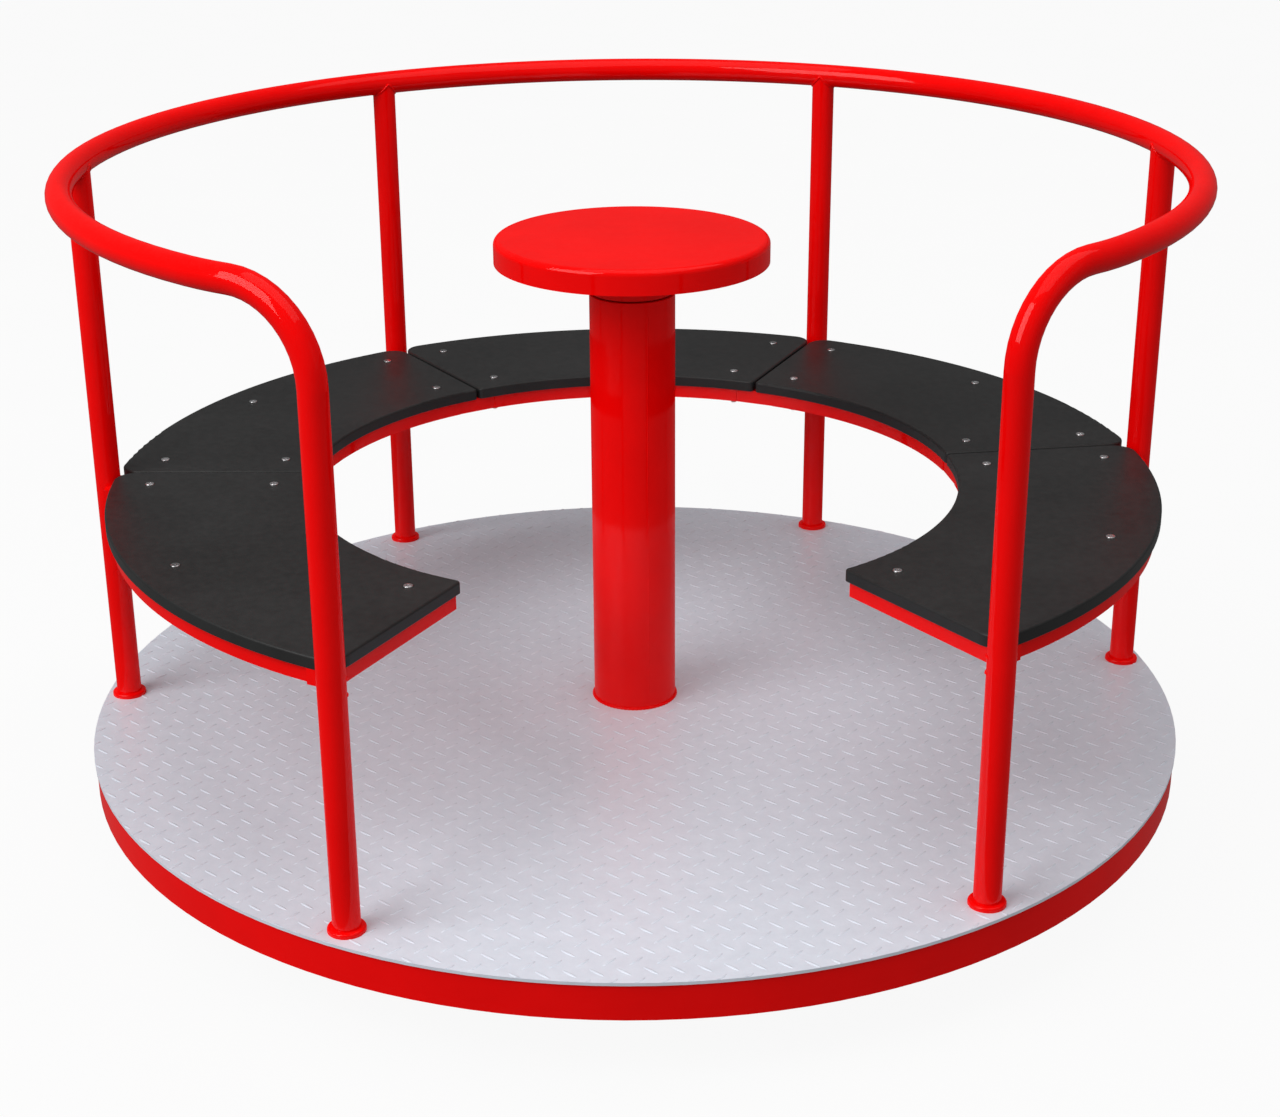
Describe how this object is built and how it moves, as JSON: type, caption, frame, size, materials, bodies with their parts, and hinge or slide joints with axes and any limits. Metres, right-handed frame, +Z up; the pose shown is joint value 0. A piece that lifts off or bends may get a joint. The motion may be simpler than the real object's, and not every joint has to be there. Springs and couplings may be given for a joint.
{
  "type": "playground merry-go-round",
  "caption": "Round turning platform with curved bench seats, a handrail ring on upright posts and a fixed hand disc on a central column; it turns on ball bearings about a fixed spindle.",
  "frame": {"origin": "on the ground, on the axis of rotation, at the centre of the ground flange's underside", "axes": "+Z up along the axis of rotation; the entrance between the two front legs faces -Y; +X is to the right of someone stepping on"},
  "size_m": [1.4998, 1.4998, 0.9038],
  "materials": {
    "red_paint": "gloss polyester powder coat",
    "tread_plate": "raised-bar tread plate, dull silver",
    "seat_board": "black board, satin",
    "stainless": "bright stainless",
    "bearing_steel": "ground",
    "seal_rubber": "matt",
    "galvanised_steel": "hot-dip galvanised"
  },
  "bodies": {
    "base": {"ground_flange": "galvanised_steel", "base_gussets": "galvanised_steel", "spindle": "galvanised_steel", "lower_inner_race": "bearing_steel", "upper_inner_race": "bearing_steel", "bearing_spacer": "bearing_steel", "bearing_lock_washer": "bearing_steel", "bearing_lock_nut": "bearing_steel", "neck_hub": "red_paint", "neck_washer": "stainless", "neck_nut": "stainless", "hand_disc": "red_paint", "disc_studs": "stainless", "disc_nuts": "stainless"},
    "platform": {"column_tube": "red_paint", "column_cap": "red_paint", "upper_seal": "seal_rubber", "lower_seal": "seal_rubber", "lower_bearing_housing": "red_paint", "upper_bearing_housing": "red_paint", "lower_outer_race": "bearing_steel", "upper_outer_race": "bearing_steel", "lower_balls": "bearing_steel", "upper_balls": "bearing_steel", "retaining_rings": "bearing_steel", "hub_plate": "red_paint", "deck_joists": "red_paint", "deck_cross_members": "red_paint", "rim_band": "red_paint", "deck_plate": "tread_plate", "handrail": "red_paint", "foot_collars": "red_paint", "seat_screws": "stainless", "seat_nuts": "stainless", "post_right": "red_paint", "post_back_right": "red_paint", "post_back_left": "red_paint", "post_left": "red_paint", "seat_arm_1": "red_paint", "seat_arm_2": "red_paint", "seat_arm_3": "red_paint", "seat_arm_4": "red_paint", "seat_arm_5": "red_paint", "seat_arm_6": "red_paint", "seat_outer_bar_1": "red_paint", "seat_inner_bar_1": "red_paint", "seat_panel_1": "seat_board", "seat_outer_bar_2": "red_paint", "seat_inner_bar_2": "red_paint", "seat_panel_2": "seat_board", "seat_outer_bar_3": "red_paint", "seat_inner_bar_3": "red_paint", "seat_panel_3": "seat_board", "seat_outer_bar_4": "red_paint", "seat_inner_bar_4": "red_paint", "seat_panel_4": "seat_board", "seat_outer_bar_5": "red_paint", "seat_inner_bar_5": "red_paint", "seat_panel_5": "seat_board"}
  },
  "joints": [
    {"name": "platform_spin", "type": "hinge", "parent": "base", "child": "platform", "pos_m": [0, 0, 0], "axis": [0, 0, 1], "continuous": true}
  ]
}
